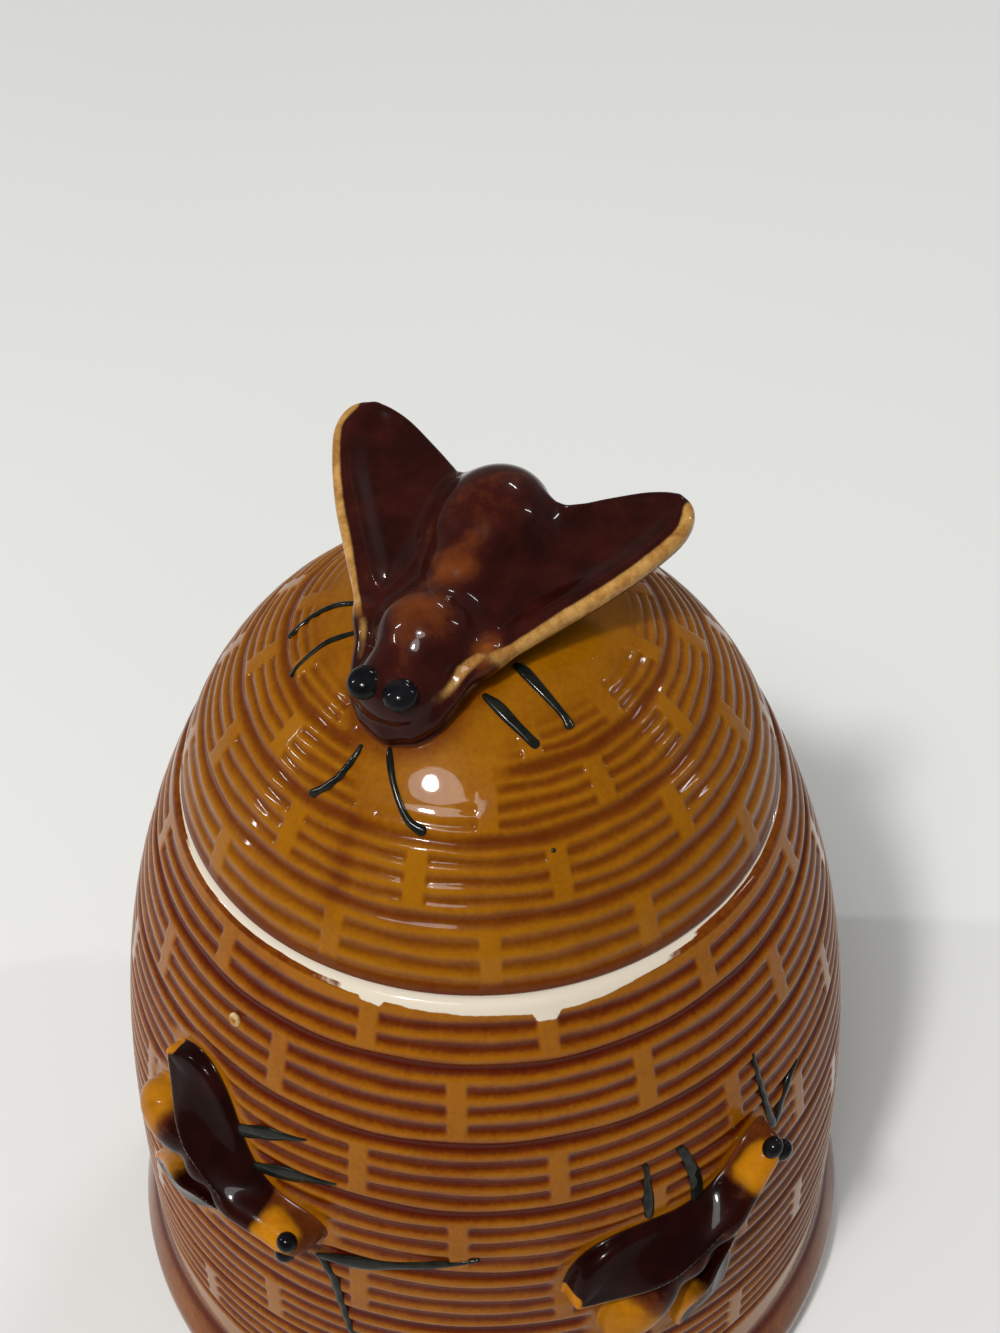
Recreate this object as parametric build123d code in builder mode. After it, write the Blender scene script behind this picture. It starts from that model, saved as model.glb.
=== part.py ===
from build123d import *
from math import cos, hypot, radians, sin
import os

# A beehive honey pot with a lift-off lid: a skep of coiled courses on a base flange, a domed lid whose
# knob is a sculpted bee, and four bees in relief on the wall. Millimetres, +Z up, origin at the centre
# of the foot. The front of the pot faces -Y, and headings are degrees from the front, towards +X.

# Pot
pot_height = 99.0          # foot to rim
rim_radius = 39.7          # outside of the wall at the rim
wall_radius = 52.9         # outside of the wall where it meets the base flange
shoulder_power = 3.05      # how late the wall turns in towards the rim
wall_thickness = 4.5
floor_thickness = 6.0
floor_corner = 12.0        # slope between floor and wall
rim_bevel = 1.2
flange_radius = 56.2       # the widest band of the base flange
flange_bottom = 3.0        # lower edge of that band
flange_top = 7.5           # upper edge of that band
flange_height = 13.5
foot_radius = 53.0         # outer edge of the foot
foot_width = 5.0
foot_recess = 1.5          # hollow under the floor

# Coiled courses of the hive, measured along the surface
first_course = 9.5         # the one next to the rim
course_width = 11.9
course_ridge = 0.6         # how far a course stands over the grooves beside it
groove_width = 2.4
lid_first_course = 10.4
lid_course_width = 9.5     # the second one
lid_course_count = 3       # above them the crown is smooth
lid_course_ratio = 0.85    # from there each course is narrower than the one below

# Lid
lid_setback = 0.3          # edge of the lid inside the outer edge of the rim that it rests on
lid_rise = 29.7            # edge to crown
crown_power = 1.42         # shape of the dome: the higher, the flatter its crown
edge_power = 2.22          # and the steeper its edge
lid_thickness = 4.6
lid_bevel = 0.8
skirt_depth = 5.0          # how far the lid drops into the mouth
skirt_thickness = 3.4
skirt_clearance = 0.7

# Bees, at the size of the one on the lid: x runs to the head, y to the side, z away from the seat
nose_x = 25.6
nose_radius = 2.6
head_x = 21.2
head_radius = 5.7
neck_x = 17.4
neck_radius = 5.3
thorax_x = 12.6            # middle of the thorax
thorax_length = 5.6        # of its widest band
thorax_radius = 6.5
waist_x = 7.6
waist_radius = 4.9
segment_x = 4.4
segment_radius = 5.3
girdle_x = 1.6
girdle_radius = 5.8
abdomen_x = -4.8           # middle of the abdomen
abdomen_length = 6.4       # of its widest band
abdomen_radius = 7.0
tail_x = -13.2
tail_radius = 3.0
eye_x = 22.6
eye_spread = 2.6           # half the distance between the eyes
eye_height = 4.0           # of their middle over the axis
eye_radius = 2.1
eye_bulge = 1.5            # how far they stand up from there

# Wings of the bee on the lid: free petals, hollowed on top
wing_level = 1.6           # height of the wing's rim over the body's axis
wing_root_x = 14.8         # where the leading edge leaves the body
wing_root_y = 4.0
wing_bow_x = 2.6           # the middle of the leading edge
wing_bow_y = 17.2
wing_tip_x = -11.2         # centre of the rounded tip
wing_tip_y = 19.0
wing_tip_radius = 4.0
wing_heel_x = -9.0         # where the trailing edge meets the body
wing_heel_y = 3.0
wing_thickness = 3.0
wing_rim = 1.6             # width of the raised edge round the wing's hollow
wing_hollow = 1.3          # depth of that hollow

# Bees on the wall: slimmer, in relief. Each wing is a leaf folded back along the body, low at its
# outer edge and rising to a rim beside the body
relief_length = 0.8        # length and girth of the body against the one on the lid
relief_girth = 0.52
relief_sides = 10          # facets round the body of a bee on the wall
relief_lift = 0.4          # axis of the body over the grooves of the wall
relief_depth = 2.5         # how far the relief runs into the wall
relief_reach = 7.0         # how far it is run down before it is cut off there
leaf_edge = 0.7            # height of a wing's outer edge over the body's axis
leaf_rim = 5.6             # and of its rim
leaf_dip = 1.0             # the middle of the wing below a straight line from rim to edge
# Stations of a wing from its tip to its root: x, outer edge, rim, and the share of the rim's height
leaf_stations = (
    (-8.4, 17.0, 14.2, 0.35),
    (-5.0, 18.3, 7.6, 0.70),
    (-1.5, 17.2, 5.1, 0.95),
    (2.2, 13.5, 3.3, 1.00),
    (6.0, 7.8, 1.9, 1.00),
    (14.6, 1.6, 0.6, 0.65),
)

# Where the bees sit
lid_bee_heading = -28.5
lid_bee_pitch = 16.3       # nose down
lid_bee_lift = 5.2         # axis of the body over the crown
left_bee_heading = -46.0
left_bee_drop = 37.6       # below the rim
left_bee_turn = -7.0       # nose below the level line
right_bee_heading = 28.0
right_bee_drop = 47.6
right_bee_turn = 49.2      # nose above the level line

lid_radius = rim_radius - lid_setback
mouth_radius = rim_radius - wall_thickness
skirt_radius = mouth_radius - skirt_clearance
skirt_inside = skirt_radius - skirt_thickness
foot_inside = foot_radius - foot_width

os.makedirs("parts", exist_ok=True)


def wall_share(z):
    """How far up the wall a height is: 1 at the rim, and 0 at the base flange, where it goes upright."""
    return max(z - flange_height, 0) / (pot_height - flange_height)


def wall_at(z):
    """Radius of the wall's grooves at height z."""
    return wall_radius - (wall_radius - rim_radius) * wall_share(z) ** shoulder_power


def wall_slope_at(z):
    """Change of the wall's radius with height."""
    run = wall_radius - rim_radius
    return -run * shoulder_power * wall_share(z) ** (shoulder_power - 1) / (pot_height - flange_height)


def dome_at(turn):
    """Point of the lid's outside, at 0 degrees on its edge and at 90 on its crown."""
    r = lid_radius * cos(radians(turn)) ** (2 / edge_power)
    z = lid_rise * sin(radians(turn)) ** (2 / crown_power)
    return r, z


def coursed(grooves):
    """A line over the courses of the hive: each stands out between two grooves, straight in between."""
    places = [grooves[0]]
    for start, end in zip(grooves, grooves[1:]):
        along = (Vector(*end) - Vector(*start)).normalized()
        out = Vector(along.Y, -along.X) * course_ridge
        lower = Vector(*start) + along * groove_width / 2 + out
        upper = Vector(*end) - along * groove_width / 2 + out
        places += [(lower.X, lower.Y), (upper.X, upper.Y), end]
    return places


def pot_grooves():
    """Grooves of the wall from the rim down to the base flange."""
    places = [(rim_radius, pot_height)]
    z = pot_height
    width = first_course
    while True:
        z = z - width / hypot(1, wall_slope_at(z - width / 2))
        if z < flange_height + first_course / 2:
            return places + [(wall_radius, flange_height)]
        places.append((wall_at(z), z))
        width = course_width


def lid_grooves():
    """Grooves of the lid from its edge up to the smooth crown."""
    places = [(lid_radius, 0)]
    width = lid_first_course
    walked = 0
    turn = 0
    while len(places) <= lid_course_count:
        before = dome_at(turn)
        turn = turn + 0.25
        after = dome_at(turn)
        walked = walked + hypot(after[0] - before[0], after[1] - before[1])
        if walked >= width:
            places.append(after)
            width = lid_course_width * lid_course_ratio ** (len(places) - 2)
            walked = 0
    return places, turn


def pot_outside():
    """Outline of the pot from the edge of its foot up to the outer edge of its rim."""
    Polyline(
        (foot_radius, 0),
        (flange_radius, flange_bottom),
        (flange_radius, flange_top),
        *coursed(pot_grooves()[::-1]),
    )


def lid_outside():
    """Outline of the lid from its edge up over the courses and the smooth crown."""
    grooves, last_turn = lid_grooves()
    crown = [dome_at(last_turn + (90 - last_turn) * share) for share in (0.35, 0.7)]
    Polyline(*coursed(grooves), *crown, (0, lid_rise))


def bee_stations():
    """Places and radii along a bee's body, from its tail to its nose."""
    return [
        (tail_x, tail_radius),
        (abdomen_x - abdomen_length / 2, abdomen_radius),
        (abdomen_x + abdomen_length / 2, abdomen_radius),
        (girdle_x, girdle_radius),
        (segment_x, segment_radius),
        (waist_x, waist_radius),
        (thorax_x - thorax_length / 2, thorax_radius),
        (thorax_x + thorax_length / 2, thorax_radius),
        (neck_x, neck_radius),
        (head_x, head_radius),
        (nose_x, nose_radius),
    ]


def turned_bee():
    """Body of the lid's bee along the x axis, turned from tail to nose, with two eyes."""
    with BuildPart() as body:
        with BuildSketch(Plane.XZ):
            with BuildLine():
                Polyline((tail_x, 0), *bee_stations(), (nose_x, 0), close=True)
            make_face()
        revolve(axis=Axis.X)
        for side in (1, -1):
            with Locations((eye_x, eye_spread * side, eye_height)):
                Cone(eye_radius, eye_radius / 2, eye_bulge, align=(Align.CENTER, Align.CENTER, Align.MIN))
                Cylinder(eye_radius, eye_height, align=(Align.CENTER, Align.CENTER, Align.MAX))
    return body.part


def free_wing(side):
    """A thick petal with a hollowed top, on the left (1) or the right (-1)."""
    with BuildPart(Plane.XY.offset(wing_level)) as wing:
        with BuildSketch() as petal:
            with BuildLine():
                leading = ThreePointArc(
                    (wing_root_x, wing_root_y * side),
                    (wing_bow_x, wing_bow_y * side),
                    (wing_tip_x + wing_tip_radius * 0.37, (wing_tip_y + wing_tip_radius * 0.93) * side),
                )
                tip = ThreePointArc(
                    leading @ 1,
                    (wing_tip_x - wing_tip_radius * 0.78, (wing_tip_y + wing_tip_radius * 0.62) * side),
                    (wing_tip_x - wing_tip_radius * 0.93, (wing_tip_y - wing_tip_radius * 0.37) * side),
                )
                Polyline(tip @ 1, (wing_heel_x, wing_heel_y * side), leading @ 0)
            make_face()
        extrude(amount=-wing_thickness)
        with BuildSketch():
            add(petal.sketch_local)
            offset(amount=-wing_rim, mode=Mode.REPLACE)
        extrude(amount=-wing_hollow, taper=40, mode=Mode.SUBTRACT)
    return wing.part


def leaf_wing(side):
    """One folded wing of a bee on the wall, flat-faced, its sides straight down."""
    rims = []
    dips = []
    edges = []
    for x, outer, inner, share in leaf_stations:
        rim = leaf_rim * share
        rims.append(Vector(x, side * inner, rim))
        dips.append(Vector(x, side * (inner + outer) / 2, max((rim + leaf_edge) / 2 - leaf_dip, leaf_edge)))
        edges.append(Vector(x, side * outer, leaf_edge))
    down = Vector(0, 0, relief_reach)
    rows = [
        [p - Vector(0, 0, p.Z) - down for p in rims],
        rims,
        dips,
        edges,
        [p - Vector(0, 0, p.Z) - down for p in edges],
    ]
    faces = []
    for one, other in zip(rows, rows[1:]):
        for k in range(len(one) - 1):
            faces.append(Face(Wire.make_polygon([one[k], one[k + 1], other[k]])))
            faces.append(Face(Wire.make_polygon([one[k + 1], other[k + 1], other[k]])))
    for k in (0, -1):
        faces.append(Face(Wire.make_polygon([row[k] for row in rows])))
    faces.append(Face(Wire.make_polygon(rows[0] + rows[-1][::-1])))
    return Solid(Shell(faces))


def relief_bee():
    """A bee of the wall with its wings folded, all of it run down past its seat."""
    with BuildPart() as bee:
        for x, radius in bee_stations():
            with BuildSketch(Plane.YZ.offset(x * relief_length)):
                RegularPolygon(radius * relief_girth, relief_sides, major_radius=False)
        loft(ruled=True)
        add(leaf_wing(1))
        add(leaf_wing(-1))
    return bee.part


def wall_seat(heading, drop, turn):
    """Plane of a bee on the wall: x towards its nose, z away from the wall."""
    height = pot_height - drop
    around = radians(heading - 90)
    away = Vector(cos(around), sin(around), -wall_slope_at(height)).normalized()
    level = Vector(-sin(around), cos(around), 0)
    rising = away.cross(level)
    nose = level * cos(radians(turn)) + rising * sin(radians(turn))
    foot = Vector(wall_at(height) * cos(around), wall_at(height) * sin(around), height)
    return Plane(origin=foot + away * relief_lift, x_dir=nose, z_dir=away)


# The depth that the relief of the wall bees reaches to, halfway into the wall
with BuildPart() as relief_ground:
    with BuildSketch(Plane.XZ):
        with BuildLine():
            ground_heights = [flange_height + (pot_height - flange_height) * k / 4 for k in range(5)]
            ground = Polyline(*[(wall_at(z) - relief_depth, z) for z in ground_heights])
            Polyline(ground @ 1, (0, pot_height), (0, flange_height), ground @ 0)
        make_face()
    revolve(axis=Axis.Z)

# Pot: wall, floor, base flange and foot in one revolved section, then the four bees on the wall,
# two on the front half and the same two on the back
with BuildPart() as pot_body:
    with BuildSketch(Plane.XZ):
        with BuildLine():
            Line((foot_inside, 0), (foot_radius, 0))
            pot_outside()
            corner_top = floor_thickness + floor_corner
            inner_heights = [corner_top + (pot_height - corner_top) * share for share in (1, 0.65, 0)]
            Polyline(
                (rim_radius, pot_height),
                *[(wall_at(z) - wall_thickness, z) for z in inner_heights],
                (wall_at(corner_top) - wall_thickness - floor_corner, floor_thickness),
                (0, floor_thickness),
                (0, foot_recess),
                (foot_inside, foot_recess),
                (foot_inside, 0),
            )
        face = make_face()
        chamfer(face.vertices().group_by(Axis.Y)[-1], rim_bevel)
    revolve(axis=Axis.Z)
    bee_form = relief_bee()
    for half_turn in (0, 180):
        for heading, drop, turn in (
            (left_bee_heading, left_bee_drop, left_bee_turn),
            (right_bee_heading, right_bee_drop, right_bee_turn),
        ):
            seat = wall_seat(heading + half_turn, drop, turn)
            add(bee_form.moved(seat.location) - relief_ground.part)
pot_body.part.label = "pot_body"
export_step(pot_body.part, "parts/pot_body.step")

# Lid: a hollow dome whose flat edge rests on the rim, with a skirt that drops into the mouth
lid_section = Plane(origin=(0, 0, pot_height), x_dir=(1, 0, 0), z_dir=(0, -1, 0))
with BuildPart() as lid_dome:
    with BuildSketch(lid_section):
        with BuildLine():
            Polyline(
                (skirt_inside, -skirt_depth),
                (skirt_radius, -skirt_depth),
                (skirt_radius, 0),
                (lid_radius, 0),
            )
            lid_outside()
            hollow_rise = lid_rise - lid_thickness
            Line((0, lid_rise), (0, hollow_rise))
            hollow_points = []
            for turn in (60, 30):
                reach, rise = dome_at(turn)
                inside_rise = lid_thickness + (hollow_rise - lid_thickness) * rise / lid_rise
                hollow_points.append((skirt_inside * reach / lid_radius, inside_rise))
            Polyline((0, hollow_rise), *hollow_points, (skirt_inside, lid_thickness))
            Line((skirt_inside, lid_thickness), (skirt_inside, -skirt_depth))
        face = make_face()
        edge = face.vertices().sort_by_distance((lid_radius, 0))[0]
        chamfer(edge, lid_bevel)
    revolve(axis=Axis.Z)
lid_dome.part.label = "lid_dome"
export_step(lid_dome.part, "parts/lid_dome.step")

# The space that the lid fills, which the knob is cut to fit
with BuildPart() as lid_core:
    with BuildSketch(lid_section):
        with BuildLine():
            Line((0, 0), (lid_radius, 0))
            lid_outside()
            Line((0, lid_rise), (0, 0))
        make_face()
    revolve(axis=Axis.Z)

# Knob: the bee on the crown, nose down towards the front left
heading = radians(lid_bee_heading)
pitch = radians(lid_bee_pitch)
lid_seat = Plane(
    origin=(0, 0, pot_height + lid_rise + lid_bee_lift),
    x_dir=(sin(heading) * cos(pitch), -cos(heading) * cos(pitch), -sin(pitch)),
    z_dir=(sin(heading) * sin(pitch), -cos(heading) * sin(pitch), cos(pitch)),
)
with BuildPart() as knob_form:
    add(turned_bee())
    for side in (1, -1):
        add(free_wing(side))
with BuildPart() as lid_bee:
    add(knob_form.part.moved(lid_seat.location))
    add(lid_core.part, mode=Mode.SUBTRACT)
lid_bee.part.label = "lid_bee"
export_step(lid_bee.part, "parts/lid_bee.step")
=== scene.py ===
import math

import bpy
import numpy as np
from mathutils import Matrix, Vector


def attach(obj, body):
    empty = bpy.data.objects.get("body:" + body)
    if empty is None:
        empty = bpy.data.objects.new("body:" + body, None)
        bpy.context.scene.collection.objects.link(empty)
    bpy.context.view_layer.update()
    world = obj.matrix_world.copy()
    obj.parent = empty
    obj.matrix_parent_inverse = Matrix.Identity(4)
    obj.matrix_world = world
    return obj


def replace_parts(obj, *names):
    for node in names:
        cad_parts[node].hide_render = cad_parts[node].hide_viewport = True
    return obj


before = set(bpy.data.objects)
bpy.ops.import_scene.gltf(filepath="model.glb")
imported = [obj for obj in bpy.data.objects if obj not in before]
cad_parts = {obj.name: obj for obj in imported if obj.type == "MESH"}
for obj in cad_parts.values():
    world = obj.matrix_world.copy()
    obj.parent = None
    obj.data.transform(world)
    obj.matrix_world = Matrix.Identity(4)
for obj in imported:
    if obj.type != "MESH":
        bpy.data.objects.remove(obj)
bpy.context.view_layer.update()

# A glazed earthenware honey pot shaped as a bee skep, with a lift-off lid. Lengths are in millimetres
# until a mesh is made. Headings are degrees from the front (-Y) towards +X.
MM = 0.001

# ---------------- pot and lid
pot_height = 99.0
rim_radius = 40.5
wall_radius = 53.7
shoulder_power = 3.05
wall_thickness = 5.6
floor_thickness = 6.0
flange_radius = 56.1
flange_height = 13.5
foot_radius = 53.0
foot_inside = 48.0
foot_recess = 1.5

lid_radius = 39.75
lid_rise = 30.1
crown_power = 1.42
edge_power = 2.22
lid_thickness = 4.6
skirt_radius = 34.5
skirt_inside = 31.1
skirt_depth = 5.0

# Ribs: four ridges to a course, three narrow grooves between them and a wide one between courses
pot_courses = [-2.4, 9.5, 21.5, 33.1, 45.1, 57.4, 69.2, 80.8]
lid_courses = [-1.2, 10.4, 19.9, 28.0, 35.0]
pot_bars = [-20.0, -5.0, -20.0, -5.0, -20.0, -5.0, -20.0]
lid_bars = [1.0, 16.0, 1.5, 16.0]
bar_spacing = 30.0
bar_half = 1.3
bar_soft = 0.3
groove_places = (0.255, 0.5, 0.745)
full_course = 11.8         # a course of this height has grooves of the full width
narrow_half = 1.42
narrow_depth = 0.4
wide_half = 1.52
wide_depth = 0.56
margin_depth = 0.25        # bare wall and crown below the ridges
rim_fade = (1.6, 3.4)      # along the pot's outline, where its ribs begin
foot_fade = (80.2, 81.8)   # and where they end
edge_fade = (1.0, 2.6)     # along the lid's outline, where its ribs begin
lid_rib_share = 0.8        # the lid's ribs against the pot's
crown_reach = 33.0         # how far up the lid they run
crown_dip = 11.5           # and how much less far in front of the bee
crown_dip_heading = -16.0
crown_dip_half = 23.0
crown_fade = 3.5
row_step = 0.31            # between the points of a ribbed surface, along its outline
coarse_turn = 0.8          # and round it, away from the bars' edges
rim_drop = 0.05            # flat of the rim below the pot's height
rim_round = 1.4
wall_start = 1.3           # where the ribbed wall and the ribbed dome begin, along their outlines
edge_start = 0.8

# Where the bees sit: heading, height of the seat, turn of the nose over the level line
lid_bee_heading = -28.5
lid_bee_pitch = 16.3
lid_bee_height = 134.0
wall_bees = {
    "left": (-46.0, pot_height - 37.6, -7.0),
    "right": (28.0, pot_height - 47.6, 44.0),
}
wall_bee_stretch = {"left": (0.98, 1.0), "right": (1.10, 0.90)}     # along the body and across it
wall_eye_reach = {"left": 17.1, "right": 18.0}
wall_bee_lift = -0.2       # axis of a wall bee's body over the ridges

bee_sink = 1.0             # how deep a bee is let into the surface under it
bee_patch_drop = 0.12      # and how far under that surface its rim runs out
stroke_unit = 40.0         # heights of the brush strokes are given in this length, from the rim
stroke_lift = 0.22
stroke_sink = 0.25
round_headings = np.linspace(0, 360, 28, endpoint=False)    # of the points round an eye or a spot


def step(low, high, value):
    """0 below low, 1 above high, smooth between."""
    t = np.clip((value - low) / (high - low), 0, 1)
    return t * t * (3 - 2 * t)


def hump(q):
    """A rounded groove, 1 in its middle and 0 from 1 on."""
    return np.where(np.abs(q) < 1, np.cos(np.clip(q, -1, 1) * np.pi / 2) ** 2, 0.0)


def blend_low(a, b, k):
    """The lower of two distances, rounded over k where they meet."""
    h = np.clip(0.5 + 0.5 * (b - a) / k, 0, 1)
    return b + (a - b) * h - k * h * (1 - h)


def blend_high(a, b, k):
    """The higher of two distances, rounded over k where they meet."""
    return -blend_low(-a, -b, k)


def turn_off(heading, centre, whole=360):
    """Signed turn from a heading, or from the nearest of several that repeat."""
    return (heading - centre + whole / 2) % whole - whole / 2


def around_axis(radial, level, heading):
    """Points or directions at a heading, from their parts out of the axis and along it."""
    a = np.radians(heading)
    return np.stack(np.broadcast_arrays(radial * np.sin(a), -radial * np.cos(a), level + 0 * a), axis=-1)


# ---------------- the turned surfaces
def wall_share(z):
    """How far up the wall a height is, from the flange to the rim."""
    return np.clip((z - flange_height) / (pot_height - flange_height), 0, 1.1)


def crest_at(z):
    """Radius of the pot's ridges at height z."""
    return wall_radius - (wall_radius - rim_radius) * wall_share(z) ** shoulder_power


def crest_slope(z):
    """Change of that radius with height."""
    run = wall_radius - rim_radius
    return -run * shoulder_power * wall_share(z) ** (shoulder_power - 1) / (pot_height - flange_height)


class Outline:
    """A turned outline measured along its length: radius, height and outward normal at s."""

    def __init__(self, radius, height):
        self.r = np.asarray(radius, float)
        self.z = np.asarray(height, float)
        steps = np.hypot(np.diff(self.r), np.diff(self.z))
        self.s = np.concatenate([[0], np.cumsum(steps)])
        along_r = np.gradient(self.r, self.s)
        along_z = np.gradient(self.z, self.s)
        size = np.hypot(along_r, along_z)
        self.nr = along_z / size
        self.nz = -along_r / size
        if np.mean(self.nr) < 0:
            self.nr, self.nz = -self.nr, -self.nz
        self.length = self.s[-1]

    def at(self, s):
        """Radius, height and the two parts of the normal at s."""
        return [np.interp(s, self.s, v) for v in (self.r, self.z, self.nr, self.nz)]

    def s_at_height(self, z):
        way = np.sign(self.z[-1] - self.z[0])
        return np.interp(way * z, way * self.z, self.s)


wall_z = np.linspace(pot_height, flange_height, 3000)
pot_line = Outline(crest_at(wall_z), wall_z)
dome_turn = np.linspace(0, np.pi / 2, 6000)
dome_r = lid_radius * np.cos(dome_turn) ** (2 / edge_power)
dome_z = pot_height + lid_rise * np.sin(dome_turn) ** (2 / crown_power)
dome_r[-1] = 0
lid_line = Outline(dome_r, dome_z)


def groove_depth(s, heading, radius, courses, bars):
    """Depth of the ribs' grooves below the ridges."""
    depth = np.zeros(np.broadcast(s, heading).shape)
    turn = np.radians(heading)
    s = s + 0.10 * np.sin(7 * turn + 0.35 * s) + 0.07 * np.sin(19 * turn + 0.8 * s)
    for low, high, bar in zip(courses, courses[1:], bars):
        width = high - low
        half = narrow_half * min(1, width / full_course)
        t = (s - low) / width
        narrow = 0
        for place in groove_places:
            narrow = np.maximum(narrow, hump((t - place) * width / half))
        off = np.abs(turn_off(heading, bar, bar_spacing))
        on_bar = 1 - step(bar_half - bar_soft, bar_half + bar_soft, np.radians(off) * radius)
        depth = np.where((t >= 0) & (t < 1), narrow * narrow_depth * (1 - on_bar), depth)
    for edge in courses:
        depth = np.maximum(depth, wide_depth * hump((s - edge) / wide_half))
    return depth


# ---------------- forms of the bees
def curve_through(points, closed=True, per=8):
    """A smooth line through a few points."""
    p = np.asarray(points, float)
    ends = (p[-1:], p[:2]) if closed else (2 * p[:1] - p[1:2], 2 * p[-1:] - p[-2:-1])
    p = np.concatenate([ends[0], p, ends[1]])
    out = []
    for a, b, c, d in zip(p, p[1:], p[2:], p[3:]):
        for t in np.arange(per) / per:
            out.append(0.5 * (2 * b + (c - a) * t + (2 * a - 5 * b + 4 * c - d) * t**2
                              + (3 * b - a - 3 * c + d) * t**3))
    if not closed:
        out.append(p[-2])
    return np.array(out)


def line_distance(point, line):
    """Distance to an open line, flat or in space."""
    best = np.inf
    for a, b in zip(line, line[1:]):
        e = [q - p for p, q in zip(a, b)]
        w = [v - p for v, p in zip(point, a)]
        t = np.clip(sum(u * v for u, v in zip(w, e)) / sum(v * v for v in e), 0, 1)
        best = np.minimum(best, sum((u - v * t) ** 2 for u, v in zip(w, e)))
    return np.sqrt(best)


def outline_distance(x, y, line):
    """Signed distance to a closed flat line, negative inside."""
    inside = np.zeros(np.broadcast(x, y).shape, bool)
    for (ax, ay), (bx, by) in zip(line, np.roll(line, -1, axis=0)):
        crosses = (ay > y) != (by > y)
        if by != ay:
            inside ^= crosses & (x < ax + (bx - ax) * (y - ay) / (by - ay))
    return np.where(inside, -1, 1) * line_distance((x, y), np.concatenate([line, line[:1]]))


def egg(x, y, h, centre, radii):
    """Distance to an ellipsoid."""
    parts = [(v - c, r) for v, c, r in zip((x, y, h), centre, radii)]
    k0 = np.sqrt(sum((v / r) ** 2 for v, r in parts))
    k1 = np.sqrt(sum((v / r**2) ** 2 for v, r in parts))
    return k0 * (k0 - 1) / np.maximum(k1, 1e-6)


knob_body = [
    ((-4.8, 0, -0.3), (8.9, 7.5, 6.7)),
    ((3.0, 0, -0.4), (5.4, 5.0, 5.5)),
    ((7.4, 0, -0.8), (2.4, 4.6, 4.6)),
    ((12.6, 0, -0.1), (6.3, 6.5, 6.6)),
    ((17.4, -0.1, -0.8), (3.0, 5.1, 5.3)),
    ((20.2, -0.4, -0.7), (4.3, 5.5, 5.2)),
]
wall_body = [
    ((-7.2, 0, 0.0), (7.2, 4.5, 4.2)),
    ((0.6, 0, 0.0), (4.0, 3.6, 4.6)),
    ((7.6, 0, 0.0), (6.2, 2.8, 5.0)),
    ((12.6, 0, 0.0), (3.6, 2.2, 3.7)),
    ((16.0, 0, 0.1), (3.2, 2.2, 3.0)),
]


def bee_body(x, y, h, parts, crease=1.9):
    """Head, thorax, first segment and abdomen, with sides that drop straight below the middle."""
    h = np.where(h < 0, h * 0.35, h)
    d = None
    for centre, radii in parts:
        one = egg(x, y, h, centre, radii)
        d = one if d is None else blend_low(d, one, crease)
    return d


# Wings of the bee on the lid, as they lie in the plane of its body's axis: leading edge from the root
# to the tip and back along the trailing edge. x runs to the head, y to the side.
wing_edge = 1.4
dish_depth = 1.15
right_wing = [
    (15.0, 7.6), (9.7, 11.3), (4.4, 14.8), (-0.9, 18.2), (-7.1, 21.4), (-11.6, 23.0), (-15.2, 22.6),
    (-16.9, 20.2), (-16.4, 16.5), (-13.9, 12.1), (-10.8, 7.6), (-6.0, 2.0), (10.0, 2.0)]
right_dish = [
    (8.8, 7.6), (7.6, 9.8), (4.4, 12.0), (-0.9, 15.5), (-6.2, 18.8), (-11.2, 20.8), (-15.0, 20.8),
    (-17.3, 19.0), (-17.4, 15.8), (-15.0, 11.4), (-12.0, 7.6), (-4.0, 6.4), (4.0, 6.4)]


def wing_line(points, side, widen, closed=True):
    """A line of the right wing, or its mirror image, wider outside the body."""
    return curve_through([(x, side * (y if y < 8 else 8 + (y - 8) * widen)) for x, y in points], closed)


lid_wings = [
    (wing_line(right_wing, *shape), wing_line(right_dish, *shape), wing_line(right_wing[:7], *shape, False))
    for shape in ((1, 1.0), (-1, 1.18))]


def lid_wing(x, y, h, edge, dish):
    """A thick petal with a hollowed top."""
    out = outline_distance(x, y, edge)
    inner = -outline_distance(x, y, dish)
    lip = 0.15 * hump((inner + 0.2) / 0.5)
    top = wing_edge - dish_depth * step(-0.2, 3.4, inner) + lip
    bottom = wing_edge - 2.7 - 0.9 * step(0, 5, -out)
    return blend_high(blend_high(h - top, bottom - h, 0.8), out, 1.2)


cheek_line = [(12.0, 8.4, 0.8), (15.8, 6.7, 0.2), (18.8, 5.9, -0.7), (21.4, 4.9, -1.7),
              (23.3, 2.9, -2.5), (24.0, 0.0, -2.8)]
cheek_lines = [[(x, side * y - 0.3, h) for x, y, h in cheek_line] for side in (1, -1)]


def lid_bee_form(x, y, h):
    """Distance to the bee on the lid, with the folds that run from its wings to its cheeks."""
    d = bee_body(x, y, h, knob_body)
    for edge, dish, _ in lid_wings:
        d = blend_low(d, lid_wing(x, y, h, edge, dish), 2.2)
    for line in cheek_lines:
        d = blend_low(d, line_distance((x, y, h), line) - 1.2, 1.3)
    return d


# Bees on the wall: smaller, each wing a leaf folded back along the body, low at its outer edge on the
# wall and rising in a hollow to a rim beside the body
rim_level = 5.6
edge_level = 0.7
fold_outer = [
    (14.4, 1.2), (11.4, 2.5), (8.2, 4.2), (5.3, 6.9), (2.5, 10.6), (-0.3, 13.6), (-3.6, 15.4),
    (-6.8, 15.2), (-9.8, 13.4)]
fold_inner = [(-10.7, 12.0), (-8.4, 9.0), (-4.8, 6.0), (-0.4, 3.8), (4.0, 2.1), (8.5, 1.0), (12.0, 0.6)]
fold_lines = ((fold_outer + fold_inner, True), (fold_outer, False),
              (fold_outer[-1:] + fold_inner + fold_outer[:1], False))
fold_wings = [
    [curve_through([(x, side * y) for x, y in line], closed) for line, closed in fold_lines]
    for side in (1, -1)]


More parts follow.
